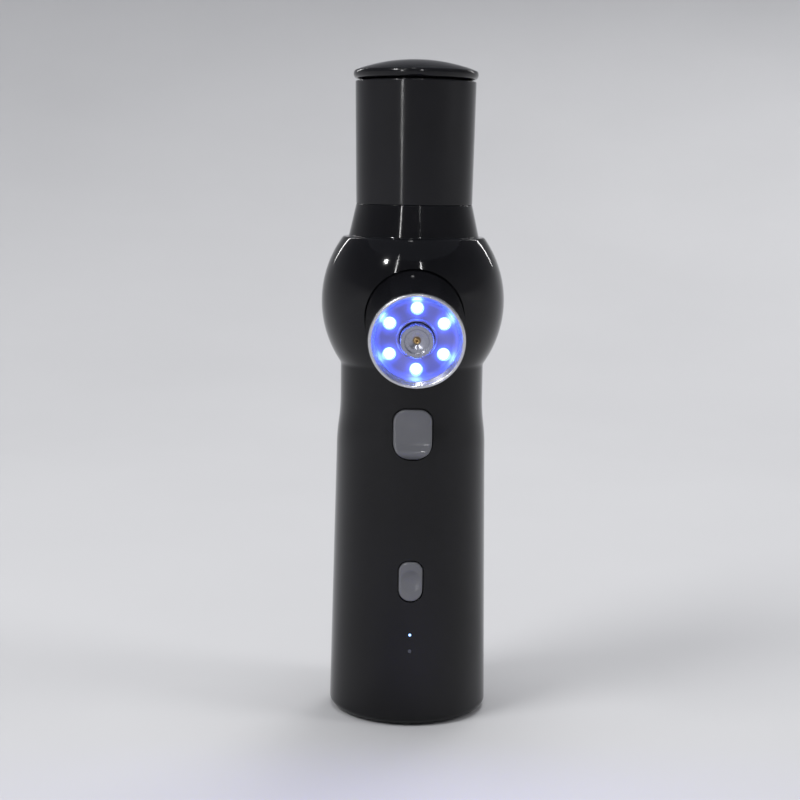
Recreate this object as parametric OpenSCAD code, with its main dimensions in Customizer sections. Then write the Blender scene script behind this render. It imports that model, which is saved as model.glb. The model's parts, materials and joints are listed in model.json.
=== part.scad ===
// Cordless handheld mist sprayer. A tapered handle carries a ball with a lit nozzle head,
// and a liquid tank with a lift-off lid stands on the ball. The foot rests at z = 0,
// the body's axis is Z, and the nozzle points along -Y.

/* [Handle] */
// Radius of the handle at its base
base_r = 26.7; // [26:0.1:27.4]
// Radius at the top of the straight taper
taper_r = 25.05; // [24.8:0.05:25.4]
// Radius of the waist under the ball
waist_r = 23.9; // [23.6:0.05:24.2]
// Height where the straight taper ends
taper_z = 90; // [86:1:92]
// Height where the waist begins
waist_z = 107; // [104:1:110]
// Thickness of the shells
wall = 2; // [1.8:0.1:2.2]

/* [Ball] */
// Height of the ball's widest ring
ball_z = 139.2; // [138.5:0.1:140]
// Radius of the ball's widest ring
ball_r = 30.5; // [30:0.1:31]
// Radius of the arc that the ball's profile follows
ball_arc_r = 35.9; // [35.5:0.1:36.5]
// Height of the crease between waist and ball
ball_low_z = 118.5; // [118:0.1:119]
// Height of the crease between ball and collar
ball_high_z = 160.6; // [160.2:0.1:161]

/* [Tank and lid] */
// Height of the seam between collar and tank
seam_z = 171.3; // [171:0.1:172]
// Radius of the collar at the ball
collar_low_r = 21.65; // [21.4:0.05:21.9]
// Radius of the collar and the tank at the seam
seam_r = 19.25; // [19.1:0.05:19.4]
// Radius of the tank at its mouth
mouth_r = 19.9; // [19.7:0.05:20]
// Height of the tank's mouth
mouth_z = 211.3; // [210:0.1:212]
// Radius of the rounded bead round the lid
bead_r = 1.7; // [1.4:0.1:1.8]
// Height of the lid's crown above the mouth
crown_h = 7.1; // [6:0.1:8]

/* [Nozzle head] */
// Angle of the nozzle below level
nozzle_tilt = 8; // [5:1:10]
// Distance from the ball's centre to the front of the head
head_reach = 56.5; // [54:0.5:58]
// Radius of the head's front end
head_r = 15; // [14.8:0.1:15.2]
// Radius of the head where it leaves the ball
head_root_r = 15.75; // [15.5:0.05:15.8]
// Radius of the circle that the lamps stand on
lamp_circle_r = 9.57; // [9.2:0.01:9.8]
// Number of lamps
lamp_count = 6; // [4:1:8]
// Radius of the turning nozzle ring
ring_r = 5.25; // [5:0.05:5.4]

/* [Trigger and power button] */
// Height of the trigger's centre
trigger_z = 97.75; // [97:0.25:98.5]
// Width of the trigger
trigger_w = 12.5; // [12:0.1:12.8]
// Height of the trigger's face
trigger_h = 16.1; // [15.6:0.1:16.4]
// Travel of the trigger
trigger_travel = 1.6; // [1:0.1:1.8]
// Height of the power button's centre
power_z = 49.15; // [48:0.05:50]
// Width of the power button
power_w = 7.7; // [7.4:0.1:8]
// Height of the power button's face
power_h = 13.1; // [12.6:0.1:13.4]
// Travel of the power button
power_travel = 0.8; // [0.4:0.1:1]

/* [Hidden] */
$fn = 96;

shell_z = 0.6;              // lowest edge of the shells, above the foot
edge_r = 2.5;               // rounding of the base's outer edge
far = 60;                   // reaches past every side of the body
parting = 0.06;             // half of the gap between the two shells
fit = 0.25;                 // gap round a button in its opening
run_gap = 0.05;             // running gap of a shaft in its bush

blend_dz = (waist_z - taper_z) / 2;
blend_dr = (taper_r - waist_r) / 2;
blend_r = (blend_dz * blend_dz + blend_dr * blend_dr) / (2 * blend_dr);

floor_t = 2;                // thickness of the shells' floor ring
floor_hole_r = 21;          // opening in the floor ring
cover_flange_z = 2.8;       // underside of the base cover's flange
rib_z = 165.8;              // ring rib that holds the tank
rib_h = 2.8;
rib_hole_r = 16.2;
spigot_r = 16;              // tank's spigot inside the collar

boss_r = 3.2;               // screw bosses of the shells
boss_seat_y = 11;
screw_r = 1.1;
screw_head_r = 2;
screw_head_h = 1.4;
screw_tip_y = -9;
vent_r = 0.8;               // air intake holes in the rear shell
vent_circle_r = 4;
boss_spots = [for (side = [-1, 1], spot = [[18.2, 18], [18.2, 92], [21, 150]]) [side * spot[0], spot[1]]];

board_y = -12.5;            // front face of the main board
board_t = 1.6;
board_w = 29;
board_low_z = 21;
board_high_z = 108;
board_screw_spots = [for (side = [-1, 1], z = [38, 86]) [side * 11, z]];
spine_y = -8.2;             // front face of the chassis spine
spine_t = 2;
base_screw_spots = [for (side = [-1, 1]) [side * 11, -3]];

cell_r = 9.2;               // an 18650 cell
cell_h = 65.2;
cell_y = 5;
cell_z = 10.6;
port_z = 17;                // centre of the charge port

motor_y = 6;                // axis of motor and pump
motor_r = 12;
motor_low_z = 80.5;
motor_high_z = 108;
shaft_r = 1;
pump_r = 13;
pump_low_z = 108.3;
diaphragm_z = 120;
pump_top_z = 130;
pump_screw_spots = [for (turn = [30, 150, 270]) [11.8 * cos(turn), 11.8 * sin(turn)]];
crank_throw = 1.8;

barrel_low_s = 17;          // distances s run along the nozzle axis from the ball's centre
barrel_flange_s = 19;
barrel_flange_r = 19.5;
barrel_bore_r = 13.6;
bezel_s = head_reach - 1.1; // where the barrel ends and the bezel ring stands on it
bulkhead_s = 45;
bulkhead_t = 2;
lamp_board_s = 50.4;
lamp_board_t = 1.4;
lamp_r = 1.5;
stem_r = 4.4;
knurl_count = 36;
knurl_r = 0.3;
barrel_screw_turns = [90, 210, 330];
barrel_screw_circle_r = 17.7;
barb_offset = 5.5;          // liquid barb above and air barb below the nozzle axis
barb_s = 18;

switch_front_y = -16;
plunger_r = 1.6;
plunger_in = 0.5;           // how far a plunger stands in its switch at rest
trigger_flange_y = -20.3;
power_flange_y = -21;
flange_t = 1.2;
flange_w = 1.25;            // how far a flange stands out all round
trigger_top_r = 4;          // corners of the two buttons
trigger_low_r = 5.6;
power_top_r = 3.1;
power_low_r = 3.7;
dish_r = 8;                 // thumb dish in the power button, and how far forward its bottom stands
dish_y = -25.25;
pipe_spots = [31.3, 25.8];  // heights of the charge indicators
pipe_r = 0.6;

nozzle_dir = [0, -cos(nozzle_tilt), -sin(nozzle_tilt)];
nozzle_up = [0, -sin(nozzle_tilt), cos(nozzle_tilt)];

// ---- helpers ----

// A point given in the nozzle's own directions.
function on_axis(s, up = 0, side = 0) = [0, 0, ball_z] + s * nozzle_dir + up * nozzle_up + [side, 0, 0];

function unit(v) = v / norm(v);

function bezier(a, b, c, d, n) = [for (i = [0 : n]) let (t = i / n, u = 1 - t)
  u * u * u * a + 3 * u * u * t * b + 3 * u * t * t * c + t * t * t * d];

// Puts z along the nozzle axis and y upwards, with z = 0 at the ball's centre.
module on_nozzle() translate([0, 0, ball_z]) rotate([90 + nozzle_tilt, 0, 0]) children();

// Puts z along +Y, from the plane y.
module from_y(y) translate([0, y, 0]) rotate([-90, 0, 0]) children();

module at_spots(spots) for (spot = spots) translate([spot[0], 0, spot[1]]) children();

module tube(outer, inner, h) difference() {
  cylinder(r = outer, h = h);
  translate([0, 0, -1]) cylinder(r = inner, h = h + 2);
}

module rounded_rect(w, h, r) {
  square([w - 2 * r, h], center = true);
  square([w, h - 2 * r], center = true);
  for (x = [-1, 1], y = [-1, 1]) translate([x * (w / 2 - r), y * (h / 2 - r)]) circle(r = r);
}

// A rounded prism along Y, from y0 to y1, with its section centred at height z.
module y_prism(z, w, h, r, y0, y1) translate([0, y0, z]) rotate([-90, 0, 0])
  linear_extrude(height = y1 - y0) rounded_rect(w, h, r);

// A button's outline, grown on all sides. Its lower corners are rounder than its upper ones, and up is -y.
module button_outline(w, h, top_r, low_r, grow) {
  top = top_r + grow;
  low = low_r + grow;
  x = w / 2 + grow;
  z = h / 2 + grow;
  polygon([[-x, top - z], [top - x, -z], [x - top, -z], [x, top - z],
    [x, z - low], [x - low, z], [low - x, z], [-x, z - low]]);
  for (side = [-1, 1]) {
    translate([side * (x - top), top - z]) circle(r = top);
    translate([side * (x - low), z - low]) circle(r = low);
  }
}

module trigger_prism(grow, y0, y1) translate([0, y0, trigger_z]) rotate([-90, 0, 0])
  linear_extrude(height = y1 - y0) button_outline(trigger_w, trigger_h, trigger_top_r, trigger_low_r, grow);

module power_prism(grow, y0, y1) translate([0, y0, power_z]) rotate([-90, 0, 0])
  linear_extrude(height = y1 - y0) button_outline(power_w, power_h, power_top_r, power_low_r, grow);

module ring_of(section_r, circle_r) rotate_extrude() translate([circle_r, 0]) circle(r = section_r);

// A round wire or tube along the given points.
module swept(points, r, sides, up) {
  last = len(points) - 1;
  rings = [for (i = [0 : last]) let (
      along = unit(points[min(i + 1, last)] - points[max(i - 1, 0)]),
      side = unit(cross(along, up)),
      over = cross(side, along)
    ) for (k = [0 : sides - 1]) let (a = 360 * k / sides) points[i] + r * (cos(a) * side + sin(a) * over)];
  walls = [for (i = [0 : last - 1], k = [0 : sides - 1]) let (
      a = i * sides + k, b = i * sides + (k + 1) % sides
    ) each [[a, b, a + sides], [b, b + sides, a + sides]]];
  ends = [[for (k = [sides - 1 : -1 : 0]) k], [for (k = [0 : sides - 1]) last * sides + k]];
  polyhedron(points = rings, faces = concat(walls, ends), convexity = 6);
}

// ---- body outline ----

// The body's half section up to the seam, moved in by inset.
module body_outline(inset) {
  polygon([[0, shell_z], [base_r - inset, shell_z], [taper_r - inset, taper_z], [0, taper_z]]);
  intersection() {
    translate([taper_r - blend_r, taper_z]) circle(r = blend_r - inset);
    translate([0, taper_z]) square([far, blend_dz]);
  }
  difference() {
    translate([0, taper_z + blend_dz]) square([taper_r, blend_dz]);
    translate([waist_r + blend_r, waist_z]) circle(r = blend_r + inset);
  }
  translate([0, waist_z]) square([waist_r - inset, ball_low_z - waist_z]);
  intersection() {
    translate([ball_r - ball_arc_r, ball_z]) circle(r = ball_arc_r - inset);
    translate([0, ball_low_z]) square([far, ball_high_z - ball_low_z]);
  }
  polygon([[0, ball_high_z], [collar_low_r - inset, ball_high_z], [seam_r - inset, seam_z], [0, seam_z]]);
}

module outer_outline() difference() {
  body_outline(0);
  difference() {
    translate([base_r - edge_r, shell_z - 1]) square([edge_r + 1, edge_r + 1]);
    translate([base_r - edge_r, shell_z + edge_r]) circle(r = edge_r);
  }
}

module skin_outline() {
  difference() {
    outer_outline();
    body_outline(wall);
  }
  intersection() {
    outer_outline();
    union() {
      translate([floor_hole_r, shell_z]) square([far, floor_t]);
      translate([rib_hole_r, rib_z]) square([far, rib_h]);
    }
  }
}

module half_space(side) translate([-far, side < 0 ? -2 * far - parting : parting, -1])
  cube([2 * far, 2 * far, seam_z + 2]);

// What is inside the body's outer surface, on one side of the parting plane.
module inside_body(side) intersection() {
  rotate_extrude() outer_outline();
  half_space(side);
  children();
}

module half_skin(side) intersection() {
  rotate_extrude() skin_outline();
  half_space(side);
}

// ---- shells and base ----

module front_shell() color([0.02, 0.02, 0.025]) difference() {
  union() {
    half_skin(-1);
    inside_body(-1) union() {
      at_spots(boss_spots) from_y(-far) cylinder(r = boss_r, h = far);
      trigger_prism(1.6, -far, trigger_flange_y - 0.2);
      power_prism(1.6, -far, power_flange_y - 0.2);
      for (z = pipe_spots) translate([0, 0, z]) from_y(-far) cylinder(r = 1.6, h = far - 21);
      on_nozzle() translate([0, 0, barrel_flange_s + 0.2]) cylinder(r = barrel_flange_r, h = far);
    }
  }
  at_spots(boss_spots) from_y(screw_tip_y - 1) cylinder(r = screw_r, h = far);
  trigger_prism(fit, -far, 0);
  power_prism(fit, -far, 0);
  for (z = pipe_spots) translate([0, 0, z]) from_y(-far) cylinder(r = pipe_r + 0.05, h = far);
  on_nozzle() cylinder(r = head_root_r + 0.15, h = far);
  on_nozzle() for (turn = barrel_screw_turns) rotate([0, 0, turn])
    translate([barrel_screw_circle_r, 0, 0]) cylinder(r = 0.9, h = 23.5);
}

module rear_shell() color([0.02, 0.02, 0.025]) difference() {
  union() {
    half_skin(1);
    inside_body(1) at_spots(boss_spots) from_y(0) cylinder(r = boss_r, h = far);
  }
  at_spots(boss_spots) {
    from_y(-1) cylinder(r = screw_r + 0.15, h = far);
    from_y(boss_seat_y) cylinder(r = screw_head_r + 0.2, h = far);
  }
  y_prism(port_z, 9.6, 3.9, 1.9, 20, far);
  translate([0, 0, ball_z]) from_y(20) {
    cylinder(r = vent_r, h = far);
    for (turn = [0 : 60 : 300]) rotate([0, 0, turn]) translate([vent_circle_r, 0, 0])
      cylinder(r = vent_r, h = far);
  }
}

module base_cover() color([0.05, 0.05, 0.055]) difference() {
  union() {
    translate([0, 0, shell_z]) cylinder(r = floor_hole_r - 0.2, h = 3);
    translate([0, 0, cover_flange_z]) cylinder(r = 23.5, h = 1.6);
    for (spot = base_screw_spots) translate([spot[0], spot[1], shell_z]) cylinder(r = boss_r, h = 6.4);
  }
  translate([0, 0, -0.2]) tube(19.05, 14.95, 2);
  for (spot = base_screw_spots) translate([spot[0], spot[1], -1]) {
    cylinder(r = screw_r + 0.15, h = 12);
    cylinder(r = screw_head_r + 0.2, h = 3.8);
  }
}

module foot_ring() color([0.03, 0.03, 0.03]) tube(19, 15, 1.8);

module shell_screws() color([0.7, 0.7, 0.72]) at_spots(boss_spots) {
  from_y(screw_tip_y) cylinder(r = screw_r, h = boss_seat_y - screw_tip_y + 0.5);
  difference() {
    from_y(boss_seat_y) cylinder(r = screw_head_r, h = screw_head_h);
    from_y(boss_seat_y + 0.6) cylinder(r = 1, h = 3, $fn = 6);
  }
}

module base_screws() color([0.7, 0.7, 0.72]) for (spot = base_screw_spots)
  translate([spot[0], spot[1], 0]) {
    translate([0, 0, 2.8]) cylinder(r = screw_r, h = 7);
    difference() {
      translate([0, 0, 2.8 - screw_head_h]) cylinder(r = screw_head_r, h = screw_head_h);
      translate([0, 0, 0]) cylinder(r = 1, h = 2.2, $fn = 6);
    }
  }

// ---- chassis, battery and boards ----

module chassis() color([0.25, 0.26, 0.28]) difference() {
  union() {
    translate([-14, spine_y, 8]) cube([28, spine_t, board_high_z - 8]);
    translate([-14, spine_y, 7]) cube([28, 23.4, 3]);
    translate([-12.5, spine_y, 76.4]) cube([25, 22, 2]);
    for (z = [22, 42, 62]) translate([-12, spine_y, z]) cube([24, 14, 2.5]);
    translate([-9, 14.5, 7]) cube([18, 7.5, 7.2]);
    for (spot = board_screw_spots) translate([spot[0], 0, spot[1]])
      from_y(board_y + board_t) cylinder(r = 2.6, h = spine_y - board_y);
    for (z = [18, 92]) translate([-20.9, spine_y, z - 4]) cube([41.8, spine_t, 8]);
  }
  translate([0, cell_y, cell_z - 0.6]) cylinder(r = cell_r + 0.2, h = cell_h + 1.2);
  at_spots(boss_spots) from_y(-far) cylinder(r = boss_r + 0.1, h = 2 * far);
  at_spots(board_screw_spots) from_y(-far) cylinder(r = 0.9, h = far);
  for (spot = base_screw_spots) translate([spot[0], spot[1], 6]) cylinder(r = screw_r, h = 3.8);
}

module battery_cell() color([0.1, 0.25, 0.55]) translate([0, cell_y, cell_z]) {
  cylinder(r = cell_r, h = cell_h - 0.8);
  cylinder(r = 3, h = cell_h);
}

module battery_contacts() color([0.8, 0.8, 0.8]) {
  translate([0, cell_y, cell_z - 0.5]) cylinder(r = 6, h = 0.5);
  translate([0, cell_y, cell_z + cell_h]) cylinder(r = 6, h = 0.5);
}

module main_board() color([0.05, 0.35, 0.15]) difference() {
  translate([-board_w / 2, board_y, board_low_z]) cube([board_w, board_t, board_high_z - board_low_z]);
  at_spots(board_screw_spots) from_y(-far) cylinder(r = 1.1, h = far);
}

module board_screws() color([0.7, 0.7, 0.72]) at_spots(board_screw_spots) {
  from_y(board_y) cylinder(r = 0.9, h = 5);
  from_y(board_y - 1) cylinder(r = 1.8, h = 1);
}

module control_chip() color([0.06, 0.06, 0.06]) translate([-3, board_y - 1.5, 62]) cube([6, 1.5, 10]);

module boost_coil() color([0.3, 0.3, 0.32]) y_prism(80, 7, 7, 1.5, board_y - 3.5, board_y);

module capacitor() color([0.15, 0.2, 0.4]) translate([9.5, 0, 61]) from_y(board_y - 6)
  cylinder(r = 3, h = 6);

module push_switch(z, travel) difference() {
  translate([-3, switch_front_y, z - 3]) cube([6, board_y - switch_front_y, 6]);
  translate([0, 0, z]) from_y(switch_front_y - 1)
    cylinder(r = plunger_r + 0.1, h = 1.5 + plunger_in + travel);
}

module plunger(z, flange_y) translate([0, 0, z]) from_y(flange_y + flange_t)
  cylinder(r = plunger_r, h = switch_front_y + plunger_in - flange_y - flange_t);

module power_switch() color([0.08, 0.08, 0.09]) push_switch(power_z, power_travel);

module power_plunger() color([0.75, 0.7, 0.6]) plunger(power_z, power_flange_y);

module trigger_switch() color([0.08, 0.08, 0.09]) push_switch(trigger_z, trigger_travel);

module trigger_plunger() color([0.75, 0.7, 0.6]) plunger(trigger_z, trigger_flange_y);

module trigger_spring() color([0.8, 0.8, 0.82]) {
  turns = 4;
  steps = 12 * turns;
  low = trigger_flange_y + flange_t + 0.35;
  high = board_y - 0.35;
  swept([for (i = [0 : steps])
      [5 * cos(30 * i), low + (high - low) * i / steps, trigger_z + 5 * sin(30 * i)]],
    0.3, 6, [0, 1, 0]);
}

// The face is hollow for the finger and ends below in a lip that stands out.
module trigger() color([0.75, 0.76, 0.8]) {
  lip_z = trigger_z - trigger_h / 2 + 5.2;
  difference() {
    trigger_prism(0, -28, trigger_flange_y + flange_t);
    translate([-far, -41.6, lip_z + 7]) rotate([0, 90, 0]) cylinder(r = 16.6, h = 2 * far);
    translate([-far, -34, trigger_z - trigger_h / 2 - 1.4]) rotate([-32, 0, 0]) translate([0, -4, -10])
      cube([2 * far, 8, 12]);
  }
  trigger_prism(flange_w, trigger_flange_y, trigger_flange_y + flange_t);
}

module power_button() color([0.75, 0.76, 0.8]) {
  difference() {
    intersection() {
      power_prism(0, -far, power_flange_y + flange_t);
      translate([0, 0, power_z - 20]) cylinder(r = 26.2, h = 40);
    }
    translate([0, dish_y - dish_r, power_z]) sphere(r = dish_r);
  }
  power_prism(flange_w, power_flange_y, power_flange_y + flange_t);
}

module indicator_leds() color([0.85, 0.85, 0.7]) for (z = pipe_spots)
  translate([-0.8, board_y - 0.7, z - 0.5]) cube([1.6, 0.7, 1]);

module light_pipes() color([0.8, 0.85, 0.95]) for (z = pipe_spots) translate([0, 0, z]) {
  from_y(-26.15) cylinder(r = pipe_r, h = 12.5);
  from_y(-20.8) cylinder(r = 1.2, h = 1);
}

module charge_board() color([0.05, 0.35, 0.15]) translate([-6, 15, 14.2]) cube([12, 7.5, 1.15]);

module charge_port() color([0.72, 0.72, 0.74]) difference() {
  y_prism(port_z, 8.94, 3.2, 1.55, 17.4, 24.7);
  y_prism(port_z, 8.34, 2.6, 1.25, 18.4, 26);
}

// ---- motor and air pump ----

module on_motor(z) translate([0, motor_y, z]) children();

module motor_can() color([0.72, 0.72, 0.74]) on_motor(motor_low_z) {
  difference() {
    cylinder(r = motor_r, h = motor_high_z - motor_low_z);
    translate([0, 0, -1]) cylinder(r = motor_r - 0.8, h = motor_high_z - motor_low_z);
    cylinder(r = 2.5, h = 40);
  }
}

module motor_end_cap() color([0.15, 0.15, 0.16]) on_motor(motor_low_z - 1.8) tube(motor_r - 0.1, 2.5, 1.8);

module motor_bushes() color([0.75, 0.6, 0.3]) {
  on_motor(motor_low_z - 1.8) tube(2.5, shaft_r + run_gap, 1.8);
  on_motor(motor_high_z - 1) tube(2.5, shaft_r + run_gap, 2.2);
}

module motor_magnets() color([0.2, 0.2, 0.21]) on_motor(84) difference() {
  tube(motor_r - 0.83, 9.8, 20);
  translate([-3.5, -far, -1]) cube([7, 2 * far, 22]);
}

module rotor_shaft() color([0.8, 0.8, 0.82]) on_motor(79) cylinder(r = shaft_r, h = 34);

module rotor_core() color([0.45, 0.45, 0.47]) on_motor(86) difference() {
  union() {
    cylinder(r = 3, h = 16);
    for (turn = [0, 120, 240]) rotate([0, 0, turn]) translate([0, -1.3, 0]) cube([8.4, 2.6, 16]);
    difference() {
      tube(9.4, 7.9, 16);
      for (turn = [60, 180, 300]) rotate([0, 0, turn]) translate([0, -1, -1]) cube([12, 2, 18]);
    }
  }
  translate([0, 0, -1]) cylinder(r = shaft_r, h = 18);
}

module rotor_windings() color([0.75, 0.4, 0.2]) on_motor(85) for (turn = [0, 120, 240]) rotate([0, 0, turn])
  difference() {
    translate([3.9, -2.9, 0]) cube([3.3, 5.8, 18]);
    translate([3, -1.3, 1]) cube([6, 2.6, 16]);
  }

module commutator() color([0.75, 0.45, 0.25]) on_motor(81) tube(2.6, shaft_r, 3.6);

module crank() color([0.8, 0.78, 0.7]) on_motor(0) {
  difference() {
    translate([0, 0, 111.2]) cylinder(r = 4.4, h = 3.2);
    translate([0, 0, 111]) cylinder(r = shaft_r, h = 2);
  }
  translate([crank_throw, 0, 114.2]) cylinder(r = 0.9, h = 3.6);
}

module pump_bracket() color([0.25, 0.26, 0.28]) difference() {
  union() {
    on_motor(90) cylinder(r = 13.8, h = 8);
    for (side = [-1, 1]) translate([side * 12.8 - 1.2, spine_y + spine_t, 90]) cube([2.4, 9, 8]);
  }
  on_motor(89) cylinder(r = motor_r + 0.05, h = 10);
  translate([-far, spine_y + spine_t - 20, 80]) cube([2 * far, 20, 30]);
}

module pump_holes(z, h) for (spot = pump_screw_spots) translate([spot[0], spot[1], z])
  cylinder(r = 0.8, h = h);

module pump_housing() color([0.12, 0.12, 0.13]) on_motor(0) difference() {
  translate([0, 0, pump_low_z]) cylinder(r = pump_r, h = diaphragm_z - pump_low_z);
  translate([0, 0, pump_low_z + 1.7]) cylinder(r = 10.6, h = 20);
  translate([0, 0, pump_low_z - 1]) cylinder(r = 2.7, h = 20);
  pump_holes(pump_low_z + 2, 20);
}

module wobble_plate() color([0.8, 0.8, 0.78]) on_motor(0) {
  translate([0, 0, 114.8]) tube(4, 3, 3);
  difference() {
    translate([0, 0, 117.8]) union() {
      cylinder(r = 4, h = 1.2);
      for (turn = [90, 210, 330]) rotate([0, 0, turn]) {
        translate([0, -1.5, 0]) cube([7.5, 3, 1.2]);
        translate([7.5, 0, 0]) cylinder(r = 2.4, h = 1.2);
      }
    }
    translate([0, 0, 117]) cylinder(r = 3, h = 1.2);
  }
}

module diaphragm() color([0.1, 0.1, 0.1]) on_motor(0) {
  difference() {
    translate([0, 0, diaphragm_z]) cylinder(r = pump_r, h = 1.2);
    pump_holes(diaphragm_z - 1, 4);
  }
  for (turn = [90, 210, 330]) rotate([0, 0, turn]) translate([7.5, 0, 119]) cylinder(r = 2.6, h = 1.5);
}

module valve_plate() color([0.3, 0.3, 0.33]) on_motor(diaphragm_z + 1.2) difference() {
  cylinder(r = pump_r, h = 2);
  for (turn = [60 : 60 : 360]) rotate([0, 0, turn]) translate([7.5, 0, -1]) cylinder(r = 0.7, h = 4);
  pump_holes(-1, 4);
}

module pump_cover() color([0.12, 0.12, 0.13]) on_motor(0) difference() {
  union() {
    translate([0, 0, diaphragm_z + 3.2]) cylinder(r = pump_r, h = pump_top_z - diaphragm_z - 3.2);
    translate([6, -3, pump_top_z - 1]) cylinder(r = 1.5, h = 5);
    translate([-6, -3, pump_top_z - 1]) cylinder(r = 1.5, h = 3);
  }
  translate([0, 0, diaphragm_z + 2]) cylinder(r = 10, h = pump_top_z - diaphragm_z - 3.5);
  for (x = [-6, 6]) translate([x, -3, diaphragm_z + 4]) cylinder(r = 0.8, h = 20);
  pump_holes(diaphragm_z, 20);
}

module pump_screws() color([0.7, 0.7, 0.72]) on_motor(0) {
  pump_holes(pump_low_z + 3, pump_top_z - pump_low_z - 3);
  for (spot = pump_screw_spots) translate([spot[0], spot[1], pump_top_z]) cylinder(r = 1.2, h = 1);
}

// ---- tubes and leads ----

tube_gap = 0.15;            // between a tube's end and its barb
air_start = [6, motor_y - 3, pump_top_z + 4 + tube_gap];
liquid_start = [0, 0, 157.5 - tube_gap];
tube_end_s = barb_s - tube_gap;

module air_tube() color([0.8, 0.82, 0.85])
  swept(bezier(air_start, air_start + [0, 0, 9], on_axis(8, -barb_offset),
      on_axis(tube_end_s, -barb_offset), 16),
    2, 8, [1, 0, 0]);

module liquid_tube() color([0.8, 0.82, 0.85])
  swept(bezier(liquid_start, liquid_start - [0, 0, 12], on_axis(8, barb_offset),
      on_axis(tube_end_s, barb_offset), 16),
    2, 8, [1, 0, 0]);

module motor_leads() color([0.7, 0.1, 0.1]) for (side = [-1, 1])
  swept(bezier([12 * side, motor_y, 79.6], [17.5 * side, motor_y, 79.6], [17 * side, -9.9, 82],
    [14.6 * side, -9.9, 82], 12), 0.5, 6, [0, 0, 1]);

module lamp_leads() color([0.1, 0.2, 0.7]) for (side = [-4, 4])
  swept(concat(bezier([side, -11.7, board_high_z], [side, -11.7, 127], on_axis(14, -9.5, side),
    on_axis(26, -9.5, side), 16), [on_axis(lamp_board_s, -9.5, side)]), 0.5, 6, [1, 0, 0]);

// ---- tank and lid ----

module tank() color([0.025, 0.025, 0.03]) difference() {
  union() {
    rotate_extrude() polygon([[0, seam_z], [seam_r, seam_z], [mouth_r, mouth_z], [0, mouth_z]]);
    translate([0, 0, 163.5]) cylinder(r = spigot_r, h = 9);
    translate([0, 0, 163.5]) cylinder(r = 17.8, h = 2);
    translate([0, 0, 157.5]) cylinder(r = 2.2, h = 15);
  }
  rotate_extrude() polygon([[0, 172.6], [2, 172.6], [17.55, 174], [18.05, mouth_z + 1], [0, mouth_z + 1]]);
  translate([0, 0, 150]) cylinder(r = 1.2, h = 30);
  translate([0, 0, 160]) tube(14.2, 4.5, 10.8);
}

module tank_seal() color([0.05, 0.05, 0.05]) translate([0, 0, 169.9]) ring_of(0.72, 16.75);

module tank_filter() color([0.7, 0.72, 0.75]) difference() {
  translate([0, 0, 174.2]) cylinder(r = 6, h = 0.8);
  for (turn = [0 : 60 : 300], ring = [2, 4]) rotate([0, 0, turn]) translate([ring, 0, 174])
    cylinder(r = 0.5, h = 2);
}

module lid() color([0.03, 0.03, 0.035]) {
  bead_z = mouth_z + 0.5 + bead_r;
  bead_circle_r = mouth_r - 1.05;
  rim_z = bead_z + bead_r;
  crown_z = mouth_z + crown_h;
  rise = crown_z - rim_z;
  crown_r = (bead_circle_r * bead_circle_r + rise * rise) / (2 * rise);
  difference() {
    union() {
      rotate_extrude() {
        translate([bead_circle_r, bead_z]) circle(r = bead_r);
        translate([0, mouth_z + 0.2]) square([bead_circle_r, rim_z - mouth_z - 0.2]);
        intersection() {
          translate([0, crown_z - crown_r]) circle(r = crown_r);
          translate([0, rim_z]) square([bead_circle_r, crown_h]);
        }
      }
      translate([0, 0, mouth_z - 7]) cylinder(r = 17.6, h = 8);
    }
    translate([0, 0, mouth_z - 8]) cylinder(r = 15.6, h = 10);
    translate([0, 0, mouth_z - 5]) tube(20, 16.5, 1.7);
  }
}

module lid_seal() color([0.6, 0.6, 0.62]) translate([0, 0, mouth_z - 4.15]) ring_of(0.72, 17.22);

// ---- nozzle head ----

module nozzle_barrel() color([0.02, 0.02, 0.025]) on_nozzle() difference() {
  union() {
    translate([0, 0, barrel_low_s]) cylinder(r = barrel_flange_r, h = barrel_flange_s - barrel_low_s);
    translate([0, 0, barrel_low_s]) cylinder(r = head_root_r, h = 16);
    translate([0, 0, barrel_low_s + 16])
      cylinder(r1 = head_root_r, r2 = head_r, h = bezel_s - barrel_low_s - 16);
  }
  translate([0, 0, bulkhead_s + bulkhead_t]) cylinder(r = barrel_bore_r, h = far);
  translate([0, 0, barrel_low_s - 1]) cylinder(r = barrel_bore_r, h = bulkhead_s - barrel_low_s + 1);
  cylinder(r = stem_r + 0.1, h = far);
  for (side = [-4, 4]) translate([side, -9.5, 0]) cylinder(r = 0.9, h = far);
  for (turn = barrel_screw_turns) rotate([0, 0, turn]) translate([barrel_screw_circle_r, 0, 0])
    cylinder(r = 1, h = 30);
}

module barrel_screws() color([0.7, 0.7, 0.72]) on_nozzle() for (turn = barrel_screw_turns) rotate([0, 0, turn])
  translate([barrel_screw_circle_r, 0, barrel_low_s]) {
    cylinder(r = 0.9, h = 6);
    translate([0, 0, -1]) cylinder(r = 1.6, h = 1);
  }

module bezel_ring() color([0.8, 0.8, 0.85]) on_nozzle() {
  bead = (head_reach - bezel_s) / 2;
  translate([0, 0, 52]) tube(barrel_bore_r - 0.02, barrel_bore_r - 0.75, bezel_s + bead - 52);
  translate([0, 0, bezel_s + bead]) ring_of(bead, head_r - 0.2 - bead);
  translate([0, 0, bezel_s]) tube(head_r - 0.2, barrel_bore_r - 0.75, bead);
}

module reflector() color([0.85, 0.85, 0.9]) on_nozzle() difference() {
  union() {
    translate([0, 0, lamp_board_s + lamp_board_t]) cylinder(r = 12.6, h = 0.8);
    translate([0, 0, lamp_board_s + lamp_board_t]) tube(12.8, 12, 3);
  }
  for (k = [0 : lamp_count - 1]) rotate([0, 0, 90 + 360 * k / lamp_count])
    translate([lamp_circle_r, 0, 40]) cylinder(r = lamp_r + 0.15, h = 20);
  cylinder(r = ring_r + 0.4, h = far);
}

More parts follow.
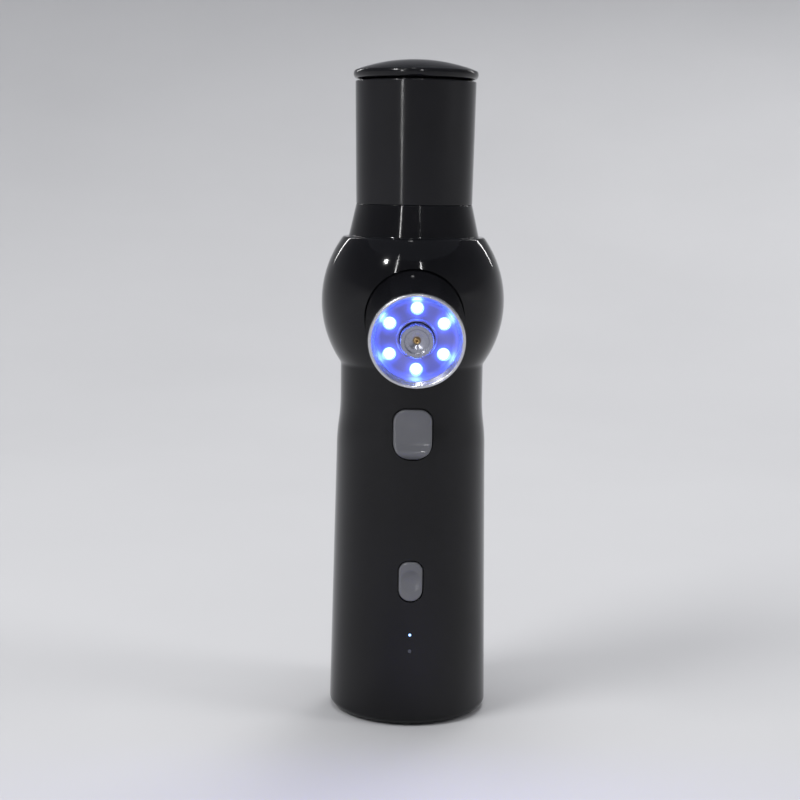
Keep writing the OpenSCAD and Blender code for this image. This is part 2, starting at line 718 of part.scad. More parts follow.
module lamp_board() color([0.9, 0.9, 0.9]) on_nozzle() translate([0, 0, lamp_board_s])
  tube(12.8, ring_r + 0.4, lamp_board_t);

module lamps() color([0.4, 0.5, 1]) on_nozzle() for (k = [0 : lamp_count - 1])
  rotate([0, 0, 90 + 360 * k / lamp_count]) translate([lamp_circle_r, 0, lamp_board_s + lamp_board_t]) {
    cylinder(r = lamp_r, h = 1.2);
    intersection() {
      translate([0, 0, 1.2]) sphere(r = lamp_r);
      cylinder(r = 2 * lamp_r, h = 4);
    }
  }

module nozzle_body() color([0.7, 0.68, 0.62]) on_nozzle() difference() {
  union() {
    translate([0, 0, 26]) cylinder(r = 9, h = 7);
    translate([0, 0, 30]) cylinder(r = stem_r, h = 23);
    translate([0, 0, 43]) cylinder(r = 8, h = bulkhead_s - 43);
    for (side = [-1, 1]) translate([0, side * barb_offset, barb_s]) cylinder(r = 1.5, h = 9);
  }
  translate([0, 0, 29]) cylinder(r = 1, h = far);
  translate([0, 0, 49.5]) tube(6, 3.8, 1.5);
  translate([0, barb_offset, 0]) cylinder(r = 0.8, h = 31);
  translate([0, -barb_offset, 0]) cylinder(r = 0.8, h = 31);
}

module nozzle_seal() color([0.05, 0.05, 0.05]) on_nozzle() translate([0, 0, 50.25]) ring_of(0.5, 4.3);

module nozzle_tip() color([0.8, 0.65, 0.35]) on_nozzle() difference() {
  union() {
    translate([0, 0, 49]) cylinder(r = 0.98, h = 4);
    translate([0, 0, 53]) cylinder(r = 2.2, h = 1.2);
    translate([0, 0, 54.2]) cylinder(r1 = 1.6, r2 = 0.7, h = 1.6);
  }
  translate([0, 0, 40]) cylinder(r = 0.3, h = far);
}

module nozzle_ring() color([0.6, 0.6, 0.63]) on_nozzle() difference() {
  translate([0, 0, lamp_board_s + 0.6]) cylinder(r = ring_r, h = head_reach - lamp_board_s - 0.6);
  translate([0, 0, lamp_board_s - 1]) cylinder(r = stem_r + 0.08, h = 3.7);
  translate([0, 0, lamp_board_s]) cylinder(r = 2.8, h = 5.4);
  cylinder(r = 1, h = far);
  translate([0, 0, head_reach - 0.7]) cylinder(r1 = 1, r2 = 2.4, h = 0.8);
  for (k = [0 : knurl_count - 1]) rotate([0, 0, 360 * k / knurl_count])
    translate([ring_r + 0.08, 0, lamp_board_s + 1.6]) cylinder(r = knurl_r, h = 10);
}

front_shell();
rear_shell();
base_cover();
foot_ring();
shell_screws();
base_screws();
chassis();
battery_cell();
battery_contacts();
main_board();
board_screws();
control_chip();
boost_coil();
capacitor();
power_switch();
power_plunger();
power_button();
trigger_switch();
trigger_plunger();
trigger_spring();
trigger();
indicator_leds();
light_pipes();
charge_board();
charge_port();
motor_can();
motor_end_cap();
motor_bushes();
motor_magnets();
rotor_shaft();
rotor_core();
rotor_windings();
commutator();
crank();
pump_bracket();
pump_housing();
wobble_plate();
diaphragm();
valve_plate();
pump_cover();
pump_screws();
air_tube();
liquid_tube();
motor_leads();
lamp_leads();
tank();
tank_seal();
tank_filter();
lid();
lid_seal();
nozzle_barrel();
barrel_screws();
bezel_ring();
reflector();
lamp_board();
lamps();
nozzle_body();
nozzle_seal();
nozzle_tip();
nozzle_ring();
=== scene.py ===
"""The looks of a cordless handheld mist sprayer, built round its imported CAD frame.

Outer pieces are turned, cut and rounded here in millimetres, then scaled to metres. Nodes that no
piece stands for keep their CAD mesh and take a finish.
"""

import json
import math

import bmesh
import bpy
import numpy as np
from mathutils import Matrix, Vector


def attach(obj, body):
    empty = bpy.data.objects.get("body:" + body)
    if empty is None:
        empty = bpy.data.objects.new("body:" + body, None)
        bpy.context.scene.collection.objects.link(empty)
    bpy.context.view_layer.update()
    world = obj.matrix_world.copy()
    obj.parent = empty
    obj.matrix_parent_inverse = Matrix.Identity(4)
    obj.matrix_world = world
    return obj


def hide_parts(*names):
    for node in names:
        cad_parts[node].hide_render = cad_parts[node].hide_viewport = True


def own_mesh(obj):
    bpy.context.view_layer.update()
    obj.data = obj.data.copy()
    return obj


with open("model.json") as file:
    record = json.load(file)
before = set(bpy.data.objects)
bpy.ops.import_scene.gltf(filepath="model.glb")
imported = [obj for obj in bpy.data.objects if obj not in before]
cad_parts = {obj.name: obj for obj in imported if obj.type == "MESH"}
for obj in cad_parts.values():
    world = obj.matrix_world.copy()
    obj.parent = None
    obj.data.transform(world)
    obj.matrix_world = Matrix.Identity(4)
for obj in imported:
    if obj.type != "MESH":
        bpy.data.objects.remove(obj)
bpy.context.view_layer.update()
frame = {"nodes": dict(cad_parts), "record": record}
nodes = frame["nodes"]
MM = 0.001

# ---------------------------------------------------------------- sizes in millimetres, as in the CAD part

BASE_R, TAPER_R, WAIST_R = 26.7, 25.05, 23.9
TAPER_Z, WAIST_Z = 90.0, 107.0
WALL, SHELL_Z, EDGE_R = 2.0, 0.6, 2.5
BALL_Z, BALL_R, BALL_ARC_R = 139.2, 30.5, 35.9
BALL_LOW_Z, BALL_HIGH_Z = 118.5, 160.6
SEAM_Z, COLLAR_LOW_R, SEAM_R = 171.3, 21.65, 19.25
MOUTH_R, MOUTH_Z, BEAD_R, CROWN_H = 19.9, 211.3, 1.7, 7.1
TILT, HEAD_REACH, HEAD_R, HEAD_ROOT_R = 8.0, 56.5, 15.0, 15.75
BORE_R, BARREL_LOW_S, BULKHEAD_S, BEZEL_S = 13.6, 17.0, 45.0, 55.4
LAMP_S, LAMP_CIRCLE_R, LAMP_R, LAMP_COUNT = 51.8, 9.57, 1.5, 6
RING_R, RING_LOW_S = 5.25, 51.0
TRIGGER = {"z": 97.75, "w": 12.5, "h": 16.1, "top": 4.0, "low": 5.6}
POWER = {"z": 49.15, "w": 7.7, "h": 13.1, "top": 3.1, "low": 3.7}
PORT = {"z": 17.0, "w": 9.6, "h": 3.9, "top": 1.9, "low": 1.9}
TRIGGER_FLANGE_Y, POWER_FLANGE_Y, FLANGE_T, FLANGE_W = -20.3, -21.0, 1.2, 1.25
BUTTON_GAP, PARTING = 0.25, 0.06
DISH_R, DISH_Y = 8.0, -25.25
PIPE_ZS, PIPE_R = (31.3, 25.8), 0.6
BOSSES = [(side * x, z) for side in (-1, 1) for x, z in ((18.2, 18.0), (18.2, 92.0), (21.0, 150.0))]
BOSS_SEAT_Y, HEAD_HOLE_R, SHANK_HOLE_R, BOSS_R = 11.0, 2.2, 1.25, 3.2
VENT_R, VENT_CIRCLE_R = 0.8, 4.0
BASE_SCREWS = [(-11.0, -3.0), (11.0, -3.0)]
COVER_LOW, COVER_TOP, GROOVE_IN, GROOVE_OUT = 0.75, 4.2, 14.95, 19.05
PAD_IN, PAD_OUT, PAD_H = 15.0, 19.0, 1.8
FLOOR_RING_R, GAP = 21.0, 0.02
SPIGOT_R, SPIGOT_Z, BARB_R, BARB_Z, OUTLET_R = 16.0, 163.5, 2.2, 157.5, 1.2
SKIRT_R, SKIRT_IN, SKIRT_H = 17.6, 15.6, 7.0
DISH_FLOOR_S, DISH_TOP_S = 52.6, 54.8
OUTSIDE = 60.0  # from here a line looks for the surface; it clears the body everywhere
CUT_START = 45.0  # a cutter that goes in through the body's surface starts here, outside it
CUT_END, SHALLOW_CUT_END = 5.0, 18.0  # levels inside the body where such a cutter ends
TUNNEL_T, TUNNEL_GAP = 1.6, 0.2
KNURL_COUNT, KNURL_DEPTH = 36, 0.34
SPRING_TURNS, SPRING_R, SPRING_WIRE_R, SPRING_END_Y = 4, 5.0, 0.3, -12.85
TURNED = 202  # sides of a full turned piece; its half is odd, so no column of points lies on the plane x = 0

UPRIGHT = Matrix.Identity(4)
NOZZLE = Matrix.Translation((0, 0, BALL_Z)) @ Matrix.Rotation(math.radians(90 + TILT), 4, "X")

# ---------------------------------------------------------------- sections


def arc(x, z, r, start, end, steps=24):
    turns = [math.radians(start + (end - start) * k / steps) for k in range(steps + 1)]
    return [Vector((x + r * math.cos(t), z + r * math.sin(t))) for t in turns]


def soften(section, corners, steps=6):
    """Rounds corners of an open path. Each gives way to a curve that starts and ends its width away."""
    path = points(*section)

    def walk(index, way, left):
        here = path[index]
        while True:
            index += way
            length = (path[index] - here).length
            if length > left:
                return here.lerp(path[index], left / length), index
            left -= length
            here = path[index]

    for where, width in sorted(corners, key=lambda c: -min_index(path, c[0])):
        index = min_index(path, where)
        corner = path[index]
        before, low = walk(index, -1, width)
        after, high = walk(index, 1, width)
        curve = []
        for k in range(steps + 1):
            t = k / steps
            curve.append((1 - t) ** 2 * before + 2 * t * (1 - t) * corner + t * t * after)
        path[low + 1 : high] = curve
    return path


def points(*pairs):
    return [Vector(p) for p in pairs]


def min_index(path, where):
    return min(range(len(path)), key=lambda k: (path[k] - Vector(where)).length)


def body_path():
    """The outside of the two shells, from the floor ring's inner edge up to the seam."""
    blend_dz, blend_dr = (WAIST_Z - TAPER_Z) / 2, (TAPER_R - WAIST_R) / 2
    blend_r = (blend_dz**2 + blend_dr**2) / (2 * blend_dr)
    bend = math.degrees(math.asin(blend_dz / blend_r))
    low = math.degrees(math.asin((BALL_LOW_Z - BALL_Z) / BALL_ARC_R))
    high = math.degrees(math.asin((BALL_HIGH_Z - BALL_Z) / BALL_ARC_R))
    ball_x = BALL_R - BALL_ARC_R
    path = [Vector((FLOOR_RING_R, SHELL_Z))]
    path += arc(BASE_R - EDGE_R - 0.045, SHELL_Z + EDGE_R, EDGE_R, -90, 0, 12)
    path += arc(TAPER_R - blend_r, TAPER_Z, blend_r, 0, bend, 12)
    path += arc(WAIST_R + blend_r, WAIST_Z, blend_r, 180 + bend, 180, 12)[1:]
    path += [Vector((WAIST_R, BALL_LOW_Z))]
    path += arc(ball_x, BALL_Z, BALL_ARC_R, low, high, 60)
    ledge = path[-1].copy()
    path += [Vector((COLLAR_LOW_R, BALL_HIGH_Z)), Vector((SEAM_R, SEAM_Z)), Vector((SEAM_R - WALL, SEAM_Z))]
    corners = [
        ((WAIST_R, BALL_LOW_Z), 0.8),
        (ledge, 0.55),
        ((COLLAR_LOW_R, BALL_HIGH_Z), 0.5),
        ((SEAM_R, SEAM_Z), 0.3),
    ]
    return soften(path, corners)


def inner_body_path():
    """The inside of the shells, from the seam down to the floor ring."""
    inner_arc = BALL_ARC_R - WALL
    ball_x = BALL_R - BALL_ARC_R
    path = [Vector((19.5, 161.0)), Vector((19.65, 158.6))]
    path += arc(ball_x, BALL_Z, inner_arc, 34.9, -35.0, 30)
    path += [Vector((21.9, 118.0)), Vector((21.9, WAIST_Z)), Vector((TAPER_R - WALL, TAPER_Z))]
    path += [Vector((BASE_R - WALL, SHELL_Z + WALL)), Vector((FLOOR_RING_R, SHELL_Z + WALL))]
    return path


BODY = body_path()
BODY_RS = np.array([p.x for p in BODY])
BODY_ZS = np.array([p.y for p in BODY])


def body_radius(z):
    """Radius of the body's outer surface at height z, above the floor ring."""
    return float(np.interp(z, BODY_ZS[1:], BODY_RS[1:]))


# ---------------------------------------------------------------- meshes


def piece(name, verts, faces, slot, body, replaces=(), place=UPRIGHT):
    """A finished object from points in millimetres."""
    return adopt(name, closed_mesh(name, [place @ Vector(v) for v in verts], faces), slot, body, replaces)


def adopt(name, mesh, slot, body, replaces=()):
    mesh.update()
    obj = bpy.data.objects.new(name, mesh)
    bpy.context.scene.collection.objects.link(obj)
    mesh.materials.clear()
    mesh.materials.append(shaders[slot])
    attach(obj, body)
    if replaces:
        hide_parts(*replaces)
    return obj


def turned(path, sides=TURNED, closed=True, notch=None):
    """Points and faces of a turned section. notch(turn, point) gives a smaller radius where wanted."""
    verts, faces = [], []
    count = len(path)
    for k in range(sides):
        turn = 2 * math.pi * k / sides
        for p in path:
            r = notch(turn, p) if notch else p[0]
            verts.append((r * math.cos(turn), r * math.sin(turn), p[1]))
    spans = count if closed else count - 1
    for k in range(sides):
        after = (k + 1) % sides
        for j in range(spans):
            a, b = j, (j + 1) % count
            faces.append((k * count + a, after * count + a, after * count + b, k * count + b))
    return verts, faces


def half_turned(path, side, sides=TURNED // 2, edge=0.14):
    """Half of a turned section, cut just short of the plane y = 0, with a rounded edge along the cut."""
    count = len(path)
    outer = len(BODY)
    quarter = [(0.0, 1.0), (0.08, 0.62), (0.3, 0.29), (0.62, 0.08), (1.0, 0.0)]
    steps = [(back * edge, inset * edge) for back, inset in quarter]
    verts, faces = [], []
    columns = [(d, inset, 1) for d, inset in steps]
    columns += [(k, 0.0, 0) for k in range(1, sides)]
    columns += [(d, inset, -1) for d, inset in reversed(steps)]
    for value, inset, end in columns:
        for j, p in enumerate(path):
            r = p[0] - (inset if j < outer else 0.0)
            if end:
                y = PARTING + value
                turn = math.asin(min(1.0, y / r))
                turn = turn if end > 0 else math.pi - turn
            else:
                low = math.asin((PARTING + edge) / r)
                turn = low + (math.pi - 2 * low) * value / sides
            verts.append((r * math.cos(turn), side * r * math.sin(turn), p[1]))
    for k in range(len(columns) - 1):
        for j in range(count):
            a, b = k * count + j, k * count + (j + 1) % count
            faces.append((a, a + count, b + count, b) if side > 0 else (a, b, b + count, a + count))
    last = (len(columns) - 1) * count
    first_cap = list(range(count))
    last_cap = [last + j for j in range(count)]
    if side > 0:
        last_cap.reverse()
    else:
        first_cap.reverse()
    faces += [tuple(first_cap), tuple(last_cap)]
    return verts, faces


def outline(shape, grow, corner=8):
    """A rounded outline with its own radii at the top and the bottom, as (x, z) points, anticlockwise."""
    top, low = shape["top"], shape["low"]
    straight = [shape["w"] - 2 * top, shape["h"] - top - low, shape["w"] - 2 * low, shape["h"] - top - low]
    path = []
    for quarter, r in ((0, top), (1, top), (2, low), (3, low)):
        x = (shape["w"] / 2 - r) * (1 if quarter in (0, 3) else -1)
        z = (shape["h"] / 2 - r) * (1 if quarter in (0, 1) else -1)
        path += arc(x, z, r + grow, 90 * quarter, 90 * quarter + 90, corner)
        parts = max(1, round(straight[quarter] / 0.8))
        way = Vector(((-1, 0), (0, -1), (1, 0), (0, 1))[quarter])
        end = path[-1]
        path += [end + way * straight[quarter] * k / parts for k in range(1, parts)]
    return [(p.x, p.y) for p in path]


def round_outline(r, sides=40):
    return lambda grow: [
        ((r + grow) * math.cos(2 * math.pi * k / sides), (r + grow) * math.sin(2 * math.pi * k / sides))
        for k in range(sides)
    ]


def on_surface(start, way):
    """The first point of the body's outer surface from start, which is outside, along way."""
    near, far = 0.0, OUTSIDE
    for _ in range(44):
        middle = (near + far) / 2
        p = start + middle * way
        if math.hypot(p.x, p.y) > body_radius(p.z):
            near = middle
        else:
            far = middle
    return start + near * way


def skin_rings(place, shape, rings, closed=False):
    """Rings of points round an outline.

    A ring is (grow, depth under the surface) or (grow, None, level in place).
    """
    verts, faces = [], []
    way = (place.to_3x3() @ Vector((0, 0, -1))).normalized()
    for ring in rings:
        for u, v in shape(ring[0]):
            if ring[1] is None:
                verts.append(place @ Vector((u, v, ring[2])))
            else:
                verts.append(on_surface(place @ Vector((u, v, OUTSIDE)), way) + ring[1] * way)
    count = len(verts) // len(rings)
    spans = len(rings) if closed else len(rings) - 1
    for k in range(spans):
        after = (k + 1) % len(rings)
        for j in range(count):
            b = (j + 1) % count
            faces.append((k * count + j, after * count + j, after * count + b, k * count + b))
    if not closed:
        faces.append(tuple(range(count)))
        faces.append(tuple((len(rings) - 1) * count + j for j in reversed(range(count))))
    return verts, faces


def flared(flare, end):
    """Rings of a cutter whose hole has a rounded edge at the surface."""
    return [
        (flare + 0.5, None, CUT_START),
        (flare + 0.5, -0.35),
        (0.6 * flare, 0.12 * flare),
        (0.3 * flare, 0.35 * flare),
        (0.08 * flare, 0.65 * flare),
        (0.0, flare),
        (0.0, None, end),
    ]


def facing_front(z):
    """A place whose level 0 is the plane y = 0 at height z, seen from the front."""
    return Matrix.Translation((0, 0, z)) @ Matrix.Rotation(math.radians(90), 4, "X")


def facing_rear(x, z):
    return Matrix.Translation((x, 0, z)) @ Matrix.Rotation(math.radians(-90), 4, "X")


def joined(parts):
    verts, faces = [], []
    for part_verts, part_faces in parts:
        base = len(verts)
        verts += part_verts
        faces += [tuple(base + k for k in face) for face in part_faces]
    return verts, faces


def closed_mesh(name, verts, faces):
    mesh = bpy.data.meshes.new(name)
    mesh.from_pydata([Vector(v) * MM for v in verts], [], faces)
    work = bmesh.new()
    work.from_mesh(mesh)
    bmesh.ops.remove_doubles(work, verts=work.verts, dist=1e-7)  # a turned section meets itself on its axis
    bmesh.ops.recalc_face_normals(work, faces=work.faces)
    work.to_mesh(mesh)
    work.free()
    return mesh


def cut(name, solid, cutters, extra=None):
    """The solid less the cutters, plus loose parts that join it inside."""
    scene = bpy.context.scene.collection
    target = bpy.data.objects.new(name + "_solid", closed_mesh(name + "_solid", *solid))
    tool = bpy.data.objects.new(name + "_tool", closed_mesh(name + "_tool", *joined(cutters)))
    scene.objects.link(target)
    scene.objects.link(tool)
    modifier = target.modifiers.new("cut", "BOOLEAN")
    modifier.operation = "DIFFERENCE"
    modifier.solver = "EXACT"
    modifier.object = tool
    bpy.context.view_layer.update()
    mesh = bpy.data.meshes.new_from_object(target.evaluated_get(bpy.context.evaluated_depsgraph_get()))
    mesh.name = name
    bpy.data.objects.remove(target)
    bpy.data.objects.remove(tool)
    if extra:
        work = bmesh.new()
        work.from_mesh(mesh)
        loose = closed_mesh(name + "_extra", *joined(extra))
        work.from_mesh(loose)
        work.to_mesh(mesh)
        work.free()
        bpy.data.meshes.remove(loose)
    return mesh


def shade(mesh, path=None, place=UPRIGHT, sharp=28.0):
    """Smooth shading with sharp edges. Where the surface follows the path, its normals are exact."""
    mesh.polygons.foreach_set("use_smooth", [True] * len(mesh.polygons))
    mesh.set_sharp_from_angle(angle=math.radians(sharp))
    mesh.update()
    if path is None:
        return
    loops = len(mesh.loops)
    normals = np.zeros(loops * 3, np.float32)
    mesh.corner_normals.foreach_get("vector", normals)
    normals = normals.reshape(-1, 3)
    back = np.array(place.inverted(), float)
    turn_back, shift = back[:3, :3], back[:3, 3]
    co = np.zeros(len(mesh.vertices) * 3, np.float32)
    mesh.vertices.foreach_get("co", co)
    co = co.reshape(-1, 3).astype(float) / MM @ turn_back.T + shift
    vertex_of = np.zeros(loops, np.int32)
    mesh.loops.foreach_get("vertex_index", vertex_of)
    starts = np.zeros(len(mesh.polygons), np.int32)
    totals = np.zeros(len(mesh.polygons), np.int32)
    mesh.polygons.foreach_get("loop_start", starts)
    mesh.polygons.foreach_get("loop_total", totals)
    face_normals = np.zeros(len(mesh.polygons) * 3, np.float32)
    mesh.polygons.foreach_get("normal", face_normals)
    face_normals = face_normals.reshape(-1, 3).astype(float) @ turn_back.T
    face_of = np.repeat(np.arange(len(starts)), totals)

    knots = np.array([[p[0], p[1]] for p in path], float)
    spans = knots[1:] - knots[:-1]
    lengths = np.linalg.norm(spans, axis=1)
    keep = lengths > 1e-6
    knots = np.vstack([knots[:1], knots[1:][keep]])
    spans, lengths = spans[keep], lengths[keep]
    along = spans / lengths[:, None]
    square = np.stack([along[:, 1], -along[:, 0]], 1)
    at_start, at_end = square.copy(), square.copy()
    for k in range(1, len(square)):
        if square[k] @ square[k - 1] > math.cos(math.radians(sharp)):
            shared = square[k] * lengths[k] + square[k - 1] * lengths[k - 1]
            shared /= np.linalg.norm(shared)
            at_start[k] = at_end[k - 1] = shared

    here = co[vertex_of]
    flat = np.stack([np.hypot(here[:, 0], here[:, 1]), here[:, 2]], 1)
    sums = np.add.reduceat(flat, starts, axis=0) / totals[:, None]
    best = np.full(len(starts), 1e9)
    owner = np.zeros(len(starts), np.int32)
    for k in range(len(spans)):
        t = np.clip(((sums - knots[k]) @ along[k]) / lengths[k], 0, 1)
        gap = np.linalg.norm(sums - (knots[k] + t[:, None] * spans[k]), axis=1)
        nearer = gap < best
        best[nearer], owner[nearer] = gap[nearer], k
    k = owner[face_of]
    t = np.clip(np.einsum("ij,ij->i", flat - knots[k], along[k]) / lengths[k], 0, 1)
    on_path = knots[k] + t[:, None] * spans[k]
    close = np.linalg.norm(flat - on_path, axis=1) < 0.012
    section = at_start[k] * (1 - t[:, None]) + at_end[k] * t[:, None]
    section /= np.linalg.norm(section, axis=1)[:, None]
    r = np.maximum(flat[:, 0], 1e-6)
    exact = np.stack([section[:, 0] * here[:, 0] / r, section[:, 0] * here[:, 1] / r, section[:, 1]], 1)
    agree = np.einsum("ij,ij->i", exact, face_normals[face_of])
    use = close & (np.abs(agree) > 0.93) & (best[face_of] < 0.02)
    exact *= np.sign(agree)[:, None]
    forward = np.array(place.to_3x3(), float)
    normals[use] = (exact @ forward.T)[use]
    mesh.normals_split_custom_set(normals.tolist())

# ---------------------------------------------------------------- finishes


class Finish:
    """A node material that is built one node at a time round a Principled shader."""

    def __init__(self, name, **values):
        self.material = bpy.data.materials.new(name)
        self.material.use_nodes = True
        self.tree = self.material.node_tree
        self.tree.nodes.clear()
        self.output = self.add("ShaderNodeOutputMaterial")
        self.shader = self.add("ShaderNodeBsdfPrincipled")
        self.link(self.shader, "BSDF", self.output, "Surface")
        self.place = self.add("ShaderNodeTexCoord")
        self.put(**values)

    def add(self, kind, **settings):
        node = self.tree.nodes.new(kind)
        for key, value in settings.items():
            setattr(node, key, value)
        return node

    def link(self, source, out, target, into):
        self.tree.links.new(source.outputs[out], target.inputs[into])

    def put(self, **values):
        for key, value in values.items():
            self.shader.inputs[key.replace("_", " ")].default_value = value

    def noise(self, scale, detail=3.0, rough=0.5, stretch=None):
        node = self.add("ShaderNodeTexNoise")
        node.inputs["Scale"].default_value = scale
        node.inputs["Detail"].default_value = detail
        node.inputs["Roughness"].default_value = rough
        if stretch:
            mapping = self.add("ShaderNodeMapping")
            mapping.inputs["Scale"].default_value = stretch
            self.link(self.place, "Object", mapping, "Vector")
            self.link(mapping, "Vector", node, "Vector")
        else:
            self.link(self.place, "Object", node, "Vector")
        return node

    def ranged(self, source, out, low, high, into_low, into_high):
        node = self.add("ShaderNodeMapRange")
        node.inputs["From Min"].default_value = low
        node.inputs["From Max"].default_value = high
        node.inputs["To Min"].default_value = into_low
        node.inputs["To Max"].default_value = into_high
        self.link(source, out, node, "Value")
        return node

    def mixed(self, factor, out, first, second):
        node = self.add("ShaderNodeMix", data_type="RGBA")
        node.inputs[6].default_value = (*first, 1)
        node.inputs[7].default_value = (*second, 1)
        self.tree.links.new(factor.outputs[out], node.inputs[0])
        return node

    def colour(self, node):
        self.tree.links.new(node.outputs[2], self.shader.inputs["Base Color"])

    def bump(self, source, out, strength, distance):
        node = self.add("ShaderNodeBump")
        node.inputs["Strength"].default_value = strength
        node.inputs["Distance"].default_value = distance
        self.link(source, out, node, "Height")
        previous = self.shader.inputs["Normal"].links
        if previous:
            self.tree.links.new(previous[0].from_socket, node.inputs["Normal"])
        self.link(node, "Normal", self.shader, "Normal")


def plastic(name, dark, light, rough, spread=0.06, grain=1500, depth=0.05, blotch=45, **values):
    """Moulded plastic: a faint change of tint, blotchy handling marks in its gloss, and a grain."""
    s = Finish(name, IOR=1.5, **values)
    tint = s.noise(blotch, 4)
    s.colour(s.mixed(s.ranged(tint, "Fac", 0.35, 0.65, 0, 1), "Result", dark, light))
    marks = s.noise(blotch * 1.7, 6, 0.65)
    s.link(s.ranged(marks, "Fac", 0.35, 0.7, rough, rough + spread), "Result", s.shader, "Roughness")
    s.bump(s.noise(grain, 2), "Fac", depth, 0.1 * MM)
    return s


def metal(name, dark, light, rough, spread=0.12, stretch=(1, 1, 1), grain=2600, depth=0.03):
    """Plated, turned or brushed metal with streaks along one direction."""
    s = Finish(name, Metallic=1.0)
    streaks = s.noise(grain, 4, 0.6, stretch)
    s.colour(s.mixed(s.ranged(streaks, "Fac", 0.3, 0.7, 0, 1), "Result", dark, light))
    s.link(s.ranged(streaks, "Fac", 0.3, 0.7, rough, rough + spread), "Result", s.shader, "Roughness")
    s.bump(streaks, "Fac", depth, 0.05 * MM)
    return s


def gloss_black(name, rough, tint, spread=0.05):
    """Polished black moulding: faint smears from handling and a slight waviness of the mould."""
    s = plastic(name, tint, tuple(1.6 * c for c in tint), rough, spread, 900, 0.006, 38)
    s.put(Specular_IOR_Level=0.3)
    smear = s.noise(55, 4, 0.55, (1, 1, 0.3))
    s.bump(smear, "Fac", 0.008, 0.2 * MM)
    return s


def lamp_glow():
    """Clear blue epoxy, lit from inside: brightest where it faces the eye, deep blue at its edge."""
    s = Finish("lamp_glow", IOR=1.5, Roughness=0.08, Emission_Strength=42.0)
    facing = s.add("ShaderNodeLayerWeight")
    facing.inputs["Blend"].default_value = 0.3
    rim = s.ranged(facing, "Facing", 0.05, 0.6, 0, 1)
    glow = s.mixed(rim, "Result", (0.10, 0.22, 1.0), (0.006, 0.010, 0.45))
    s.tree.links.new(glow.outputs[2], s.shader.inputs["Emission Color"])
    s.colour(s.mixed(s.noise(600, 2), "Fac", (0.02, 0.05, 0.6), (0.04, 0.1, 0.8)))
    return s


def indicator_glow():
    """Two small windows: the upper one is lit round its middle, the lower one is dark."""
    s = Finish("indicator_glow", IOR=1.5, Roughness=0.2, Emission_Color=(0.25, 0.5, 1.0, 1))
    level = s.add("ShaderNodeMapping")
    level.inputs["Scale"].default_value = (1, 0, 1)
    s.link(s.place, "Object", level, "Vector")
    away = s.add("ShaderNodeVectorMath", operation="DISTANCE")
    away.inputs[1].default_value = (0, 0, PIPE_ZS[0] * MM)
    s.link(level, "Vector", away, 0)
    s.link(s.ranged(away, "Value", 0.12 * MM, 0.5 * MM, 6, 0), "Result", s.shader, "Emission Strength")
    s.colour(s.mixed(s.noise(800, 2), "Fac", (0.05, 0.055, 0.08), (0.08, 0.085, 0.11)))
    return s


shaders = {
    "shell_black": gloss_black("polished_shell", 0.055, (0.0028, 0.0028, 0.0036), 0.04),
    "tank_black": gloss_black("polished_tank", 0.12, (0.0034, 0.0034, 0.0046), 0.06),
    "lid_black": gloss_black("polished_lid", 0.12, (0.0042, 0.0042, 0.0052), 0.07),
    "base_black": plastic("matt_base", (0.010, 0.010, 0.011), (0.016, 0.016, 0.017), 0.45, 0.1, 2600, 0.3),
    "rubber_black": plastic("rubber", (0.012, 0.012, 0.012), (0.022, 0.022, 0.022), 0.62, 0.15, 1800, 0.3),
    "silicone_clear": plastic(
        "silicone", (0.55, 0.58, 0.60), (0.70, 0.72, 0.74), 0.3, 0.1, 900, 0.05, Transmission_Weight=0.5
    ),
    "steel_plain": metal("zinc_steel", (0.42, 0.42, 0.44), (0.62, 0.62, 0.64), 0.26),
    "steel_pressed": metal("nickel_steel", (0.50, 0.50, 0.51), (0.68, 0.67, 0.66), 0.2, stretch=(1, 1, 0.1)),
    "core_steel": metal("laminated_steel", (0.10, 0.10, 0.11), (0.2, 0.2, 0.21), 0.4, stretch=(0.1, 0.1, 6)),
    "frame_grey": plastic("frame_nylon", (0.07, 0.073, 0.08), (0.10, 0.104, 0.11), 0.48, 0.1, 1500, 0.2),
    "moulded_black": plastic("moulded_black", (0.012, 0.012, 0.013), (0.02, 0.02, 0.021), 0.4, 0.1, 1800, 0.2),
    "moulded_white": plastic("acetal", (0.60, 0.60, 0.58), (0.70, 0.70, 0.68), 0.35, 0.1, 1500, 0.1),
    "cell_wrap": plastic("cell_wrap", (0.012, 0.05, 0.22), (0.02, 0.08, 0.3), 0.22, 0.1, 500, 0.05),
    "board_green": plastic("solder_mask", (0.006, 0.08, 0.03), (0.012, 0.12, 0.045), 0.25, 0.1, 900, 0.1),
    "copper": metal("copper", (0.50, 0.20, 0.09), (0.75, 0.36, 0.2), 0.3, stretch=(1, 1, 8)),
    "bronze": metal("bronze", (0.50, 0.34, 0.14), (0.72, 0.50, 0.24), 0.24),
    "lead_wire": plastic("lead_pvc", (0.30, 0.012, 0.012), (0.40, 0.02, 0.02), 0.4, 0.1, 900, 0.1),
    "button_grey": plastic("satin_button", (0.125, 0.127, 0.14), (0.145, 0.147, 0.16), 0.12, 0.05, 3200, 0.03),
    "bezel_pale": metal(
        "satin_bezel", (0.58, 0.58, 0.61), (0.68, 0.68, 0.71), 0.24, 0.05, grain=4000, depth=0.012
    ),
    # the pale dish's colour carries a violet tint: painted blue light from the lamps
    "reflector_pale": plastic("pale_reflector_painted_blue_light", (0.21, 0.20, 0.34), (0.25, 0.24, 0.39), 0.2, 0.06, 900, 0.04),
    "lamp_blue": lamp_glow(),
    # the steel's grey carries a blue tint: painted light from the blue lamps
    "nozzle_steel": metal(
        "turned_steel_painted_blue_light", (0.31, 0.32, 0.38), (0.39, 0.40, 0.47), 0.25, 0.05, grain=5000, depth=0.012
    ),
}
shaders = {slot: finish.material for slot, finish in shaders.items()}
indicator = indicator_glow().material

for part in frame["record"]["subparts"]:
    mesh = nodes[part["node"]].data
    mesh.materials.clear()
    mesh.materials.append(indicator if part["node"] == "light_pipes" else shaders[part["material_slot"]])

# ---------------------------------------------------------------- shells


